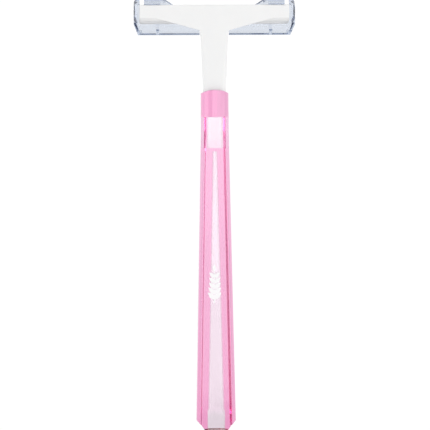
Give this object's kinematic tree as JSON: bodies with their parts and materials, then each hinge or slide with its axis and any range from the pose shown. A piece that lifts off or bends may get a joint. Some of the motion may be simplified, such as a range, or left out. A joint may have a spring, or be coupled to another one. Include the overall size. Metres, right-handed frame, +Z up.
{
  "type": "disposable razor",
  "caption": "Slim shaving razor with a T-shaped head on a tapered translucent handle, and a clear cover that pulls off the blades.",
  "frame": {"origin": "under the middle of the razor, on the surface it lies on with its back up", "axes": "+X across the head, +Y along the handle from the butt to the head, +Z up, out of the back of the head"},
  "size_m": [0.0436, 0.1168, 0.0086],
  "materials": {
    "handle": "polished translucent pink plastic",
    "head_frame": "satin white plastic",
    "blade": "ground stainless steel with honed edges",
    "spacer": "plain rolled strip",
    "blade_cap": "satin white plastic",
    "strip": "pale matt water-soluble polymer",
    "cover": "clear polystyrene with a faint blue tint"
  },
  "bodies": {
    "razor": {"handle": "handle", "head_frame": "head_frame", "lower_blade": "blade", "blade_spacer": "spacer", "upper_blade": "blade", "blade_cap": "blade_cap", "lubricating_strip": "strip"},
    "cover": {"protective_cover": "cover"}
  },
  "joints": [
    {"name": "cover_pull", "type": "slide", "parent": "razor", "child": "cover", "axis": [0, 0.5736, -0.8192], "range_m": [0, 0.025]}
  ]
}
